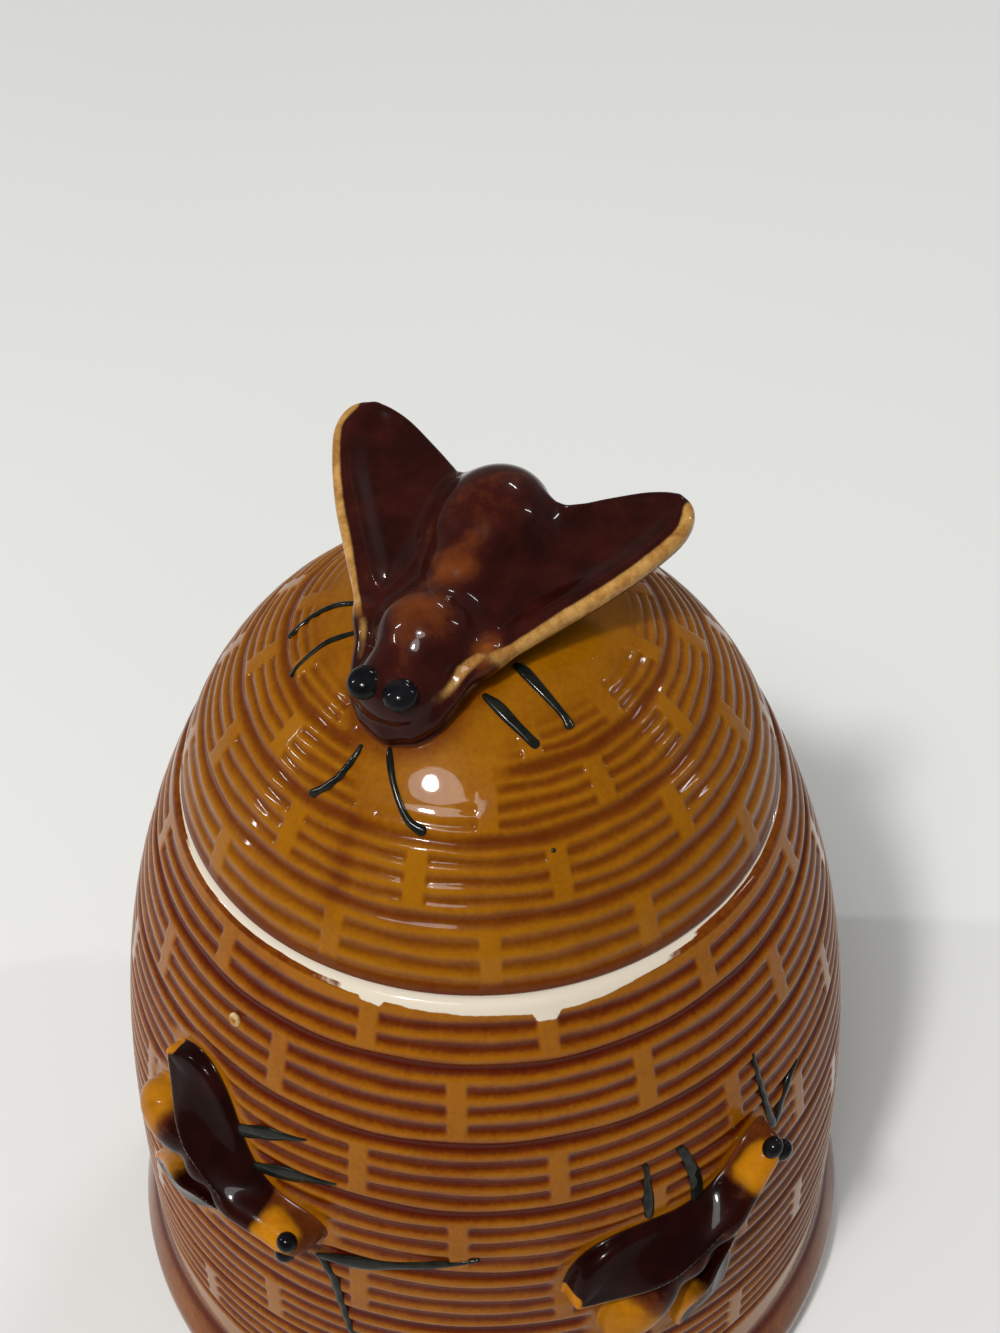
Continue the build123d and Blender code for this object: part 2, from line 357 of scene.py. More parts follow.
def folded_wing(x, y, h, edge, outer, inner):
    """A leaf that rises in a hollow from its outer edge to its rim."""
    out = outline_distance(x, y, edge)
    low = line_distance((x, y), outer)
    share = low / (low + line_distance((x, y), inner) + 0.01)
    rim = 1.3 + (rim_level - 1.3) * step(-12.0, 0.0, x) - 2.0 * step(7.0, 15.0, x)
    top = edge_level + (rim - edge_level) * share**1.5
    top = blend_low(top, edge_level + 1.35 * low, 0.6)
    return blend_high(h - top, out, 1.2)


def wall_bee_form(x, y, h):
    """Distance to a bee on the wall."""
    d = bee_body(x, y, h, wall_body)
    for wing in fold_wings:
        d = blend_low(d, folded_wing(x, y, h, *wing), 0.7)
    return d


class Seat:
    """Where a bee sits: its local axes in the pot's frame."""

    def __init__(self, origin, nose, away, stretch=(1.0, 1.0)):
        self.origin = np.asarray(origin, float)
        self.stretch = (*stretch, 1.0)
        self.z = np.asarray(away, float) / np.linalg.norm(away)
        nose = np.asarray(nose, float)
        nose = nose - self.z * (nose @ self.z)
        self.x = nose / np.linalg.norm(nose)
        self.y = np.cross(self.z, self.x)

    def world(self, x, y, h):
        o = self.origin
        x, y = x * self.stretch[0], y * self.stretch[1]
        return [o[i] + self.x[i] * x + self.y[i] * y + self.z[i] * h for i in range(3)]

    def local(self, x, y, z):
        w = [x - self.origin[0], y - self.origin[1], z - self.origin[2]]
        axes = zip((self.x, self.y, self.z), self.stretch)
        return [sum(w[i] * axis[i] for i in range(3)) / by for axis, by in axes]


def wall_seat(heading, height, turn, stretch):
    """Seat of a bee on the wall, square to its slope."""
    away = around_axis(1, -crest_slope(height), heading)
    away /= np.linalg.norm(away)
    level = np.cross((0, 0, 1), around_axis(1, 0, heading))
    rising = np.cross(away, level)
    nose = level * math.cos(math.radians(turn)) + rising * math.sin(math.radians(turn))
    origin = around_axis(crest_at(height), height, heading) + away * wall_bee_lift
    return Seat(origin, nose, away, stretch)


pitch = math.radians(lid_bee_pitch)
lid_seat = Seat(
    (0, 0, lid_bee_height),
    around_axis(math.cos(pitch), -math.sin(pitch), lid_bee_heading),
    around_axis(math.sin(pitch), math.cos(pitch), lid_bee_heading),
)
seats = {}
for name, (heading, height, turn) in wall_bees.items():
    seats[name] = wall_seat(heading, height, turn, wall_bee_stretch[name])
    seats[name + "_back"] = wall_seat(heading + 180, height, turn, wall_bee_stretch[name])


def wall_ground(x, y, z):
    """Distance over the smooth wall round a bee."""
    slope = crest_slope(z)
    return (np.hypot(x, y) - crest_at(z) + margin_depth) / np.sqrt(1 + slope**2)


def lid_ground(x, y, z):
    """Distance over the smooth dome."""
    a = np.maximum(z - pot_height, 0.01) / lid_rise
    b = np.maximum(np.hypot(x, y), 0.01) / lid_radius
    value = a**crown_power + b**edge_power - 1
    dz = crown_power * a ** (crown_power - 1) / lid_rise
    dr = edge_power * b ** (edge_power - 1) / lid_radius
    return value / np.hypot(dz, dr) + margin_depth


# ---------------- meshes
def new_object(name, data):
    obj = bpy.data.objects.new(name, data)
    bpy.context.scene.collection.objects.link(obj)
    return obj


def make_piece(name, points, faces, attributes, material, body):
    """A piece from points in millimetres, which rides on a body and takes a material."""
    mesh = bpy.data.meshes.new(name)
    points = np.asarray(points, float) * MM
    faces = [np.asarray(f, np.int64) for f in faces if len(f)]
    mesh.vertices.add(len(points))
    mesh.vertices.foreach_set("co", points.astype(np.float32).ravel())
    sizes = np.concatenate([np.full(len(f), f.shape[1]) for f in faces])
    loops = np.concatenate([f.ravel() for f in faces])
    mesh.loops.add(len(loops))
    mesh.loops.foreach_set("vertex_index", loops.astype(np.int32))
    mesh.polygons.add(len(sizes))
    starts = np.concatenate([[0], np.cumsum(sizes)[:-1]])
    mesh.polygons.foreach_set("loop_start", starts.astype(np.int32))
    mesh.polygons.foreach_set("loop_total", sizes.astype(np.int32))
    mesh.update(calc_edges=True)
    mesh.validate()
    for key, values in attributes.items():
        layer = mesh.attributes.new(key, "FLOAT", "POINT")
        layer.data.foreach_set("value", np.asarray(values, np.float32).ravel())
    mesh.shade_smooth()
    piece = new_object(name, mesh)
    mesh.materials.append(material)
    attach(piece, body)
    return piece


def ring_faces(rows, cols):
    """Faces between rings of points, with a single point before the first ring and after the last."""
    index = 1 + np.arange(rows * cols).reshape(rows, cols)
    nxt = np.roll(index, -1, axis=1)
    quads = np.stack([index[:-1], nxt[:-1], nxt[1:], index[1:]], axis=-1).reshape(-1, 4)
    first = np.stack([np.zeros(cols, int), nxt[0], index[0]], axis=-1)
    last = np.stack([np.full(cols, rows * cols + 1), index[-1], nxt[-1]], axis=-1)
    return [quads, first, last]


def lathe(radius, height, headings):
    """Points and faces of a turned form. radius and height are rows, or rows by columns, and the first
    and last rows shrink to single points on the axis."""
    rows = len(height)
    grid = around_axis(radius.reshape(rows, -1), height.reshape(rows, -1), headings)
    points = np.concatenate([grid[0, :1], grid[1:-1].reshape(-1, 3), grid[-1, :1]])
    return points, ring_faces(rows - 2, len(headings))


def lathe_values(values):
    """Values by rows and columns, in the order of the lathe's points."""
    return np.concatenate([values[0, :1], values[1:-1].ravel(), values[-1, :1]])


def hive_piece(name, before, ribbed, after, headings, values, material, body, node):
    """A turned form with ribbed rows of points between two profiles, in place of a node of the CAD."""
    before, after = np.array(before), np.array(after)
    middle = (np.hypot(ribbed[..., 0], ribbed[..., 1]), ribbed[..., 2])
    cols = len(headings)
    radius, height = (
        np.concatenate([np.repeat(before[:, k:k + 1], cols, 1), rows, np.repeat(after[:, k:k + 1], cols, 1)])
        for k, rows in enumerate(middle))
    points, faces = lathe(radius, height, headings)
    values = {key: lathe_values(rows) for key, rows in values.items()}
    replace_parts(make_piece(name, points, faces, values, material, body), node)


def cells_beside(where, axis, corners):
    """The cells beside grid lines along an axis, one set for each corner."""
    others = [k for k in range(3) if k != axis]
    for corner in corners:
        cell = where.copy()
        cell[:, others] -= corner
        yield cell


def skin(field, low, high, size):
    """Quads round the inside of a field of distances, one point per cell that it passes through,
    then moved onto the surface itself."""
    axes = [np.arange(a, b + size, size) for a, b in zip(low, high)]
    gx, gy, gz = np.meshgrid(*axes, indexing="ij", sparse=True)
    values = np.asarray(field(gx, gy, gz), np.float32)
    inside = values < 0
    shape = [n - 1 for n in values.shape]
    total = np.zeros(shape + [3], np.float32)
    count = np.zeros(shape, np.int32)
    crossing = []
    for axis in range(3):
        before = (slice(None),) * axis
        va, vb = values[(*before, slice(-1))], values[(*before, slice(1, None))]
        cut = (va < 0) != (vb < 0)
        crossing.append(cut)
        where = np.argwhere(cut)
        t = va[cut] / (va[cut] - vb[cut])
        place = where.astype(np.float32)
        place[:, axis] += t
        for cell in cells_beside(where, axis, ((0, 0), (0, 1), (1, 0), (1, 1))):
            good = np.all((cell >= 0) & (cell < np.array(shape)), axis=1)
            flat = np.ravel_multi_index(cell[good].T, shape)
            np.add.at(count.reshape(-1), flat, 1)
            np.add.at(total.reshape(-1, 3), flat, place[good])
    used = count > 0
    number = np.full(shape, -1, np.int64)
    number[used] = np.arange(used.sum())
    points = total[used] / count[used][:, None]
    points = points * size + np.array([a[0] for a in axes])
    faces = []
    for axis in range(3):
        where = np.argwhere(crossing[axis])
        good = [(where[:, k] >= 1) & (where[:, k] < shape[k]) for k in range(3) if k != axis]
        where = where[np.all(good, axis=0)]
        around = cells_beside(where, axis, ((1, 1), (0, 1), (0, 0), (1, 0)))
        quads = np.stack([number[tuple(cell.T)] for cell in around], axis=-1)
        outward = inside[tuple(where.T)]
        if axis == 1:
            outward = ~outward
        quads = np.where(outward[:, None], quads, quads[:, ::-1])
        faces.append(quads[np.all(quads >= 0, axis=1)])
    points = points.astype(float)
    e = 0.02
    for _ in range(4):
        ahead = [field(*(points + shift).T) - field(*(points - shift).T) for shift in e * np.eye(3)]
        g = np.stack(ahead, axis=-1) / (2 * e)
        push = field(*points.T) / np.maximum((g**2).sum(axis=1), 0.2)
        push = np.clip(push, -0.3 * size, 0.3 * size)
        points = points - g * push[:, None]
    return points, [np.concatenate(faces)]


# ---------------- materials
def new_material(name):
    material = bpy.data.materials.new(name)
    material.use_nodes = True
    tree = material.node_tree
    shader = tree.nodes["Principled BSDF"]
    return material, tree, shader


def attribute(tree, name):
    node = tree.nodes.new("ShaderNodeAttribute")
    node.attribute_name = name
    return node.outputs["Fac"]


def feed(tree, value, socket):
    """A colour, a number or another node's output into a socket."""
    if isinstance(value, tuple):
        socket.default_value = (*value, 1)
    elif isinstance(value, (int, float)):
        socket.default_value = value
    else:
        tree.links.new(value, socket)


def noise(tree, scale, detail, rough=0.5):
    coords = tree.nodes.new("ShaderNodeTexCoord")
    node = tree.nodes.new("ShaderNodeTexNoise")
    node.inputs["Scale"].default_value = scale
    node.inputs["Detail"].default_value = detail
    node.inputs["Roughness"].default_value = rough
    tree.links.new(coords.outputs["Object"], node.inputs["Vector"])
    return node.outputs["Fac"]


def maths(tree, operation, *values, clamp=False):
    node = tree.nodes.new("ShaderNodeMath")
    node.operation = operation
    node.use_clamp = clamp
    for socket, value in zip(node.inputs, values):
        feed(tree, value, socket)
    return node.outputs[0]


def waver(tree, size, scale, detail, rough=0.5, middle=0.5):
    """Noise about 0, size times as strong."""
    about = maths(tree, "SUBTRACT", noise(tree, scale, detail, rough), middle)
    return maths(tree, "MULTIPLY", about, size)


def ramp(tree, value, stops):
    node = tree.nodes.new("ShaderNodeValToRGB")
    elements = node.color_ramp.elements
    for i, (place, colour) in enumerate(stops):
        element = elements[i] if i < 2 else elements.new(place)
        element.position = place
        element.color = (*colour, 1)
    tree.links.new(value, node.inputs["Fac"])
    return node.outputs["Color"]


def mixed(tree, share, a, b, blend="MIX"):
    node = tree.nodes.new("ShaderNodeMix")
    node.data_type = "RGBA"
    node.blend_type = blend
    for value, place in ((share, 0), (a, 6), (b, 7)):
        feed(tree, value, node.inputs[place])
    return node.outputs[2]


def glaze(shader, rough=0.35, coat=1.0):
    shader.inputs["Roughness"].default_value = rough
    shader.inputs["Specular IOR Level"].default_value = 0.02
    shader.inputs["Coat Weight"].default_value = coat
    shader.inputs["Coat Roughness"].default_value = 0.045
    shader.inputs["Coat IOR"].default_value = 1.2


def ripple(tree, shader, scale, distance):
    """The slight unevenness of a fired glaze, in its gloss too."""
    bump = tree.nodes.new("ShaderNodeBump")
    bump.inputs["Strength"].default_value = 1.0
    bump.inputs["Distance"].default_value = distance
    tree.links.new(noise(tree, scale, 2), bump.inputs["Height"])
    tree.links.new(bump.outputs["Normal"], shader.inputs["Normal"])
    tree.links.new(bump.outputs["Normal"], shader.inputs["Coat Normal"])


def hive_glaze(name, stops):
    """Translucent amber glaze: pale where it is thin over the ridges and dark where it pools and where
    painted shade is laid into that share, worn to the cream body along the rim and absent from the foot."""
    material, tree, shader = new_material(name)
    patches = maths(tree, "ADD", attribute(tree, "pool"), waver(tree, 0.42, 60, 3))
    grain = maths(tree, "ADD", waver(tree, 0.34, 380, 4), waver(tree, 0.36, 1500, 2, middle=0.38))
    colour = ramp(tree, maths(tree, "ADD", patches, grain, clamp=True), stops)
    worn = maths(tree, "ADD", attribute(tree, "cream"), waver(tree, 1.1, 260, 4, 0.6))
    worn = ramp(tree, worn, [(0.42, (0, 0, 0)), (0.62, (1, 1, 1))])
    colour = mixed(tree, worn, colour, (0.60, 0.53, 0.43))
    speckled = ramp(tree, noise(tree, 900, 3), [(0.35, (0.42, 0.30, 0.19)), (0.65, (0.62, 0.49, 0.35))])
    feed(tree, mixed(tree, attribute(tree, "bare"), colour, speckled), shader.inputs["Base Color"])
    glaze(shader)
    ripple(tree, shader, 160, 0.00004)
    return material


pot_glaze = hive_glaze("amber_glaze", [
    (0.0, (0.252, 0.084, 0.0009)), (0.28, (0.182, 0.049, 0.0004)),
    (0.55, (0.100, 0.017, 0.0001)), (0.90, (0.058, 0.0044, 0.0001))])
lid_glaze = hive_glaze("honey_glaze", [
    (0.0, (0.258, 0.092, 0.0009)), (0.25, (0.205, 0.066, 0.0006)),
    (0.60, (0.130, 0.032, 0.0002)), (0.95, (0.090, 0.0148, 0.0001))])


def times(colour, by):
    return tuple(by * c for c in colour)


def bee_glaze(name, ground, pooled, dark, amber, speckled, coat=1.0):
    """Dark brown glaze, thin and brown over the high places and worn to amber along the edges."""
    material, tree, shader = new_material(name)
    thin = maths(tree, "ADD", attribute(tree, "thin"), waver(tree, 1.1, 210, 4, 0.6), clamp=True)
    colour = ramp(tree, thin, [
        (0.0, dark), (0.35, times(dark, 2.2)),
        (0.75, (0.12, 0.028, 0.005)), (1.0, (0.22, 0.060, 0.008))])
    rub = maths(tree, "ADD", attribute(tree, "amber"), waver(tree, 0.5, 330, 4, 0.6))
    rubbed = ramp(tree, rub, [(0.36, (0, 0, 0)), (0.68, (1, 1, 1))])
    edge = ramp(tree, rub, [(0.45, times(amber, 0.45)), (0.8, amber), (1.0, times(amber, 1.25))])
    specks = ramp(tree, noise(tree, 420, 5, 0.7), [(0.36, speckled), (0.60, (1, 1, 1))])
    colour = mixed(tree, rubbed, colour, mixed(tree, 1.0, edge, specks, "MULTIPLY"))
    around = mixed(tree, noise(tree, 120, 3), ground, times(ground, 0.75))
    around = mixed(tree, attribute(tree, "pool"), around, pooled)
    feed(tree, mixed(tree, attribute(tree, "ground"), colour, around), shader.inputs["Base Color"])
    glaze(shader, 0.3, coat)
    ripple(tree, shader, 220, 0.00003)
    return material


lid_bee_glaze = bee_glaze(
    "dark_glaze", (0.270, 0.090, 0.0015), (0.120, 0.024, 0.0003), (0.014, 0.0020, 0.0012),
    (0.36, 0.195, 0.055), (0.55, 0.42, 0.30))
wall_bee_glaze = bee_glaze(
    "dark_glaze_wall", (0.212, 0.065, 0.0008), (0.075, 0.008, 0.0001), (0.007, 0.0008, 0.0004),
    (0.34, 0.130, 0.003), (0.85, 0.75, 0.65), 0.6)


def plain_glaze(name, scale, low, high, rough):
    """An even glaze, lighter in small places."""
    material, tree, shader = new_material(name)
    feed(tree, ramp(tree, noise(tree, scale, 3), [(0.35, low), (0.7, high)]), shader.inputs["Base Color"])
    glaze(shader, rough)
    return material


# Paler than the amber round it: the blister's light colour is painted highlight on its ring
blister_glaze_and_highlight = plain_glaze("blister_glaze_and_highlight", 700, (0.30, 0.15, 0.03), (0.60, 0.46, 0.26), 0.35)
brush_black = plain_glaze("brush_black", 500, (0.004, 0.005, 0.004), (0.014, 0.014, 0.009), 0.2)
eye_black = plain_glaze("eye_black", 500, (0.002, 0.002, 0.003), (0.008, 0.007, 0.008), 0.2)


# ---------------- pot
def rounded(a, corner, b, count):
    """Points round a corner, without its ends."""
    a, corner, b = (np.asarray(p, float) for p in (a, corner, b))
    places = np.linspace(0, 1, count)[1:-1]
    return [tuple((1 - t) ** 2 * a + 2 * t * (1 - t) * corner + t**2 * b) for t in places]


def profile(*parts):
    """A profile of (radius, height) points. A part of three is a corner to go round, the point at its
    end and the number of points on the way, both ends counted."""
    out = []
    for part in parts:
        out += rounded(out[-1], *part) + [part[1]] if len(part) == 3 else [part]
    return out


def headings_round(first, fine_half, fine_step):
    """Columns round the form, closer where the bars' edges are."""
    spacing = bar_spacing / 2
    fine = np.arange(-fine_half, fine_half + 1e-6, fine_step)
    rest = spacing - 2 * fine_half
    count = int(round(rest / coarse_turn))
    coarse = fine_half + rest * np.arange(1, count) / count
    one = np.concatenate([fine, coarse])
    return np.concatenate([first + k * spacing + one for k in range(int(round(360 / spacing)))])


def grooved(line, s, heading, depth):
    """Points of an outline turned to the headings and let in by a depth, their normals and that depth."""
    r, z, nr, nz = line.at(s)
    normal = around_axis(nr, nz, heading)
    return around_axis(r, z, heading) - normal * depth[..., None], normal, depth


def bee_footprint(x, y):
    """Distance to the outline of a wall bee seen from over it."""
    d = bee_body(x, y, 0 * x, wall_body)
    for edge, *_ in fold_wings:
        d = np.minimum(d, outline_distance(x, y, edge))
    return d


def smooth_round_bees(points):
    """0 at the bees on the wall and 1 away from them."""
    keep = np.ones(points.shape[:-1])
    for seat in seats.values():
        x, y, h = seat.local(points[..., 0], points[..., 1], points[..., 2])
        near = (np.abs(h) < 22) & (np.abs(x - 5) < 24) & (np.abs(y) < 25)
        if near.any():
            d = bee_footprint(x[near], y[near])
            keep[near] = np.minimum(keep[near], step(0.7, 2.6, d))
    return keep


def pot_grooves(s, heading):
    """Depth of the grooves on the wall and the share of them that the bees leave."""
    r, z = pot_line.at(s)[:2]
    depth = groove_depth(s, heading, r, pot_courses, pot_bars)
    depth = depth * step(*rim_fade, s) * (1 - step(*foot_fade, s))
    keep = smooth_round_bees(around_axis(r, z, heading))
    return depth * keep, keep


def pot_surface(s, heading):
    """Points of the ribbed wall, its outward normals there and the depth below the ridges."""
    depth, keep = pot_grooves(s, heading)
    return grooved(pot_line, s, heading, depth + margin_depth * (1 - keep))


pot_headings = headings_round(pot_bars[0], 2.7, 0.3)
wall_s = np.arange(wall_start, pot_line.length, row_step)
wall_place = wall_s[:, None], pot_headings[None, :]

# From the middle of the foot's hollow out and up to the wall
foot = profile((0, foot_recess), (foot_inside * 0.5, foot_recess), (foot_inside - 1.2, foot_recess),
               ((foot_inside - 0.4, foot_recess), (foot_inside, 0.4), 5))[:-1]
foot += profile((foot_inside + 0.4, 0.05), (foot_inside + 1.0, 0.0), (foot_radius - 1.5, 0.0),
                ((flange_radius - 1.2, 0.0), (flange_radius - 0.35, 2.4), 12),
                ((flange_radius + 0.25, 4.4), (flange_radius - 0.1, 6.4), 10),
                ((flange_radius - 0.9, 9.6), (wall_radius + 0.6, 11.6), 12),
                ((wall_radius - 0.2, 12.7), (wall_radius, flange_height + 0.2), 8))[:-1]

# From the wall over the rim and down to the middle of the floor
rim_top = pot_height - rim_drop
mouth_radius = rim_radius - wall_thickness + 0.4
rim = profile([float(v) for v in pot_line.at(wall_start)[:2]],
              ((rim_radius, pot_height), (rim_radius - rim_round, rim_top), 9),
              (mouth_radius + rim_round, rim_top),
              ((mouth_radius, rim_top), (mouth_radius - 0.1, pot_height - 1.6), 7))[1:-1]
inside_z = np.linspace(pot_height - 2.4, floor_thickness + 13, 40)
inside = [(float(crest_at(z)) - wall_thickness, z) for z in inside_z]
floor_r = inside[-1][0]
inside = profile(*inside, ((floor_r + 0.2, floor_thickness), (floor_r - 14, floor_thickness), 14),
                 (15, floor_thickness - 0.1), (0, floor_thickness - 0.1))

# Share of the pooled glaze: darkest in the wide grooves and in the corner over the flange
foot_z = np.array(foot)[:, 1]
rows = len(foot) + len(wall_s) + len(rim) + len(inside)
cols = len(pot_headings)
wall_rows = slice(len(foot), len(foot) + len(wall_s))
pool = np.full((rows, cols), 0.42)
pool[:len(foot)] = (0.34 + 0.4 * np.exp(-(((foot_z - 12.2) / 1.2) ** 2)))[:, None]
pool[wall_rows] = (np.clip(pot_grooves(*wall_place)[0] / wide_depth, 0, 1) ** 0.85 * 0.94)[::-1]

# The rim is worn to the pale body, widest at the front and on the bars
off = turn_off(pot_headings, 0)
front = np.exp(-(np.abs(off - 4) / 33.0) ** 4)
left_of_it = (1 - step(36, 44, off)) * step(-78, -60, off)
on_bar = 1 - step(1.6, 2.6, np.abs(turn_off(pot_headings, pot_bars[0], bar_spacing)))
worn_width = -1.6 + 2.8 * front + 0.25 * np.sin(np.radians(pot_headings * 7)) * front + 1.1 * front * on_bar
cream = np.zeros((rows, cols))
cream[wall_rows] = (1 - step(-0.5, 0.5, wall_s[:, None] - 0.6 - worn_width[None, :]))[::-1]
cream[wall_rows.stop:wall_rows.stop + len(rim)] = 1.0
for k in range(5):
    # away from the front only the very top of the rim is worn
    cream[wall_rows.stop + k] = 0.05 + 0.95 * np.maximum(front, left_of_it * (k > 2))
bare = np.zeros((rows, cols))
bare[3:len(foot)] = (1 - step(0.6, 1.1, foot_z[3:]))[:, None]

hive_piece("hive_pot", foot, pot_surface(*wall_place)[0][::-1], rim + inside, pot_headings,
           {"pool": pool, "cream": cream, "bare": bare}, pot_glaze, "pot", "pot_body")


# ---------------- lid
def crown_start(heading):
    """How far up the lid its ribs run: less far in front of the bee."""
    off = turn_off(heading, crown_dip_heading)
    return crown_reach - crown_dip * np.exp(-((off / crown_dip_half) ** 4))


def lid_surface(s, heading):
    """Points of the ribbed dome, its outward normals there and the depth below the ridges."""
    depth = groove_depth(s, heading, np.maximum(lid_line.at(s)[0], 5), lid_courses, lid_bars) * lid_rib_share
    fade = 1 - step(-crown_fade, crown_fade, s - crown_start(heading))
    depth = depth * fade * step(*edge_fade, s) + margin_depth * (1 - fade)
    return grooved(lid_line, s, heading, depth)


lid_headings = headings_round(lid_bars[0], 4.2, 0.35)
dome_s = np.arange(edge_start, lid_line.length - 0.2, row_step)
dome_place = dome_s[:, None], lid_headings[None, :]
dome_points, _, dome_depth = lid_surface(*dome_place)

# From the middle of the hollow down the skirt and out to the edge
lid_base = pot_height + 0.02
skirt_base = pot_height - skirt_depth
hollow_base = pot_height + 4
hollow_top = pot_height + lid_rise - lid_thickness
before = [(0, hollow_top)]
for turn in np.radians(np.linspace(84, 4, 26)):
    rise = math.sin(turn) ** (2 / crown_power)
    before.append((skirt_inside * math.cos(turn) ** (2 / edge_power),
                   hollow_base + (hollow_top - hollow_base) * rise))
before += profile((skirt_inside, pot_height + 3), (skirt_inside, skirt_base + 0.9),
                  ((skirt_inside, skirt_base), (skirt_inside + 1, skirt_base), 5),
                  (skirt_radius - 1, skirt_base),
                  ((skirt_radius, skirt_base), (skirt_radius, skirt_base + 1), 5),
                  (skirt_radius, lid_base - 0.5),
                  ((skirt_radius, lid_base), (skirt_radius + 0.5, lid_base), 4),
                  (lid_radius - 0.9, lid_base),
                  ((lid_radius + 0.15, lid_base), [float(v) for v in lid_line.at(edge_start)[:2]], 9))[:-1]

# Share of the pooled glaze: in the grooves, in a smudge and round the bee, with painted shade of the gap over
# the rim along the lower edge
smooth_top = step(-crown_fade, crown_fade, dome_place[0] - crown_start(dome_place[1]))
dome_pool_and_shade = 0.80 * np.clip(dome_depth / wide_depth * 1.2, 0, 1) ** 0.9
dome_pool_and_shade = dome_pool_and_shade * (1 - smooth_top) + 0.06 * smooth_top
# Painted shade: dark along the lid's lower edge, where the gap over the rim lies in shadow
dome_pool_and_shade = np.maximum(dome_pool_and_shade, 0.75 * (1 - step(1.5, 2.8, dome_place[0])))
dome_pool_and_shade += 0.3 * np.exp(-(turn_off(dome_place[1], -30) / 2.4) ** 2 - ((dome_place[0] - 14) / 7) ** 2)
x, y, h = lid_seat.local(*np.moveaxis(dome_points, -1, 0))
near = (np.abs(x) < 34) & (np.abs(y) < 30)
around_bee = np.full(x.shape, 50.0)
around_bee[near] = lid_bee_form(x[near], y[near], h[near])
dome_pool_and_shade += 0.55 * (1 - step(0.2, 3.6, around_bee))
rows = len(before) + len(dome_s) + 1
cols = len(lid_headings)
# Under the dome the glaze is dark; on its rounded lower edge that darkness is painted shade of the gap over
# the rim
pool = np.full((rows, cols), 0.9)
pool[len(before):-1] = dome_pool_and_shade
pool[-1] = 0.06

# The flat that rests on the rim is bare
bare = np.zeros((rows, cols))
for i, (r, z) in enumerate(before):
    if skirt_radius + 0.2 < r < lid_radius - 0.8 and z < lid_base + 0.1:
        bare[i] = 1.0
hive_piece("hive_lid", before, dome_points, [(0, pot_height + lid_rise - margin_depth)], lid_headings,
           {"pool": pool, "cream": np.zeros((rows, cols)), "bare": bare},
           lid_glaze, "lid", "lid_dome")


# ---------------- bees
def bee_skin(form, colours, seat, ground, low, high, fillet):
    """Points, faces and colour shares of a bee run together with the surface that it sits on, which is
    let in just below the real one."""
    def field(x, y, h):
        level = ground(*seat.world(x, y, h))
        bee = np.maximum(form(x, y, h), -(level + bee_sink))
        patch = np.maximum(np.maximum(level + bee_patch_drop, -(level + bee_sink)), bee - 2.0 * fillet)
        return blend_low(bee, patch, fillet)

    points, faces = skin(field, low, high, 0.3)
    return points, faces, colours(*points.T)


def place_bee(name, seat, made, material, body):
    """A bee at a seat, from its points, faces and colour shares."""
    points, faces, values = made
    world = np.stack(seat.world(*points.T), axis=-1)
    return make_piece(name, world, faces, values, material, body)


def bee_shares(amber, thin, ground, pool):
    """Shares of worn amber, thin glaze, surface around the bee and pooled glaze there."""
    amber, thin, pool = (np.clip(share, 0, 1) for share in (amber, thin, pool))
    return {"amber": amber * (1 - ground), "thin": thin, "ground": ground, "pool": pool}


def blot(x, y, centre_x, centre_y, reach_x, reach_y):
    """1 in the middle of a soft oval and 0 well outside it."""
    return np.exp(-(((x - centre_x) / reach_x) ** 2 + ((y - centre_y) / reach_y) ** 2))


def lid_bee_colours(x, y, h):
    bee = lid_bee_form(x, y, h)
    amber = np.zeros(x.shape)
    thin = np.zeros(x.shape)
    dished = np.zeros(x.shape)
    for _, dish, leading in lid_wings:
        near = line_distance((x, y), leading)
        reach = 1.35 - 0.45 * step(3.0, 11.0, x)
        crest = 0.95 * (1 - step(reach - 0.5, reach + 0.4, near)) * step(wing_edge - 2.2, wing_edge - 1.4, h)
        crest = crest * (1 - step(11.5, 15.5, x))
        amber = np.maximum(amber, crest)
        dished = np.maximum(dished, step(-0.2, 1.2, -outline_distance(x, y, dish)))
    for line, share in zip(cheek_lines, (1.0, 0.6)):
        flat = [(a, b) for a, b, _ in line]
        rub = (1 - step(0.1, 1.3, line_distance((x, y), flat))) * (1 - 0.75 * step(14.0, 23.0, x))
        rub = rub * step(10.8, 14.0, x)
        amber = np.maximum(amber, share * rub * (1 - step(1.9, 2.8, h)))
        root = blot(x, y, 12.4, 0.97 * line[0][1], 3.2, 1.9) * step(-1.2, 0.6, h)
        thin = np.maximum(thin, 0.95 * share * root)
    thorax = blot(x, y, 12.6, 0, 4.6, 5.0) * step(3.0, 6.0, h)
    bump = blot(x, y, 4.4, 0, 2.8, 4.4) * step(2.5, 4.5, h)
    tail = blot(x, y, -5, 0, 6.5, 5.0) * step(4.0, 6.0, h)
    thin = np.maximum(thin, 0.20 + 0.40 * thorax + 0.46 * bump + 0.16 * tail - 0.12 * dished)
    return bee_shares(amber, thin, step(0.1, 1.0, bee), 0.8 * (1 - step(0.2, 2.2, bee)))


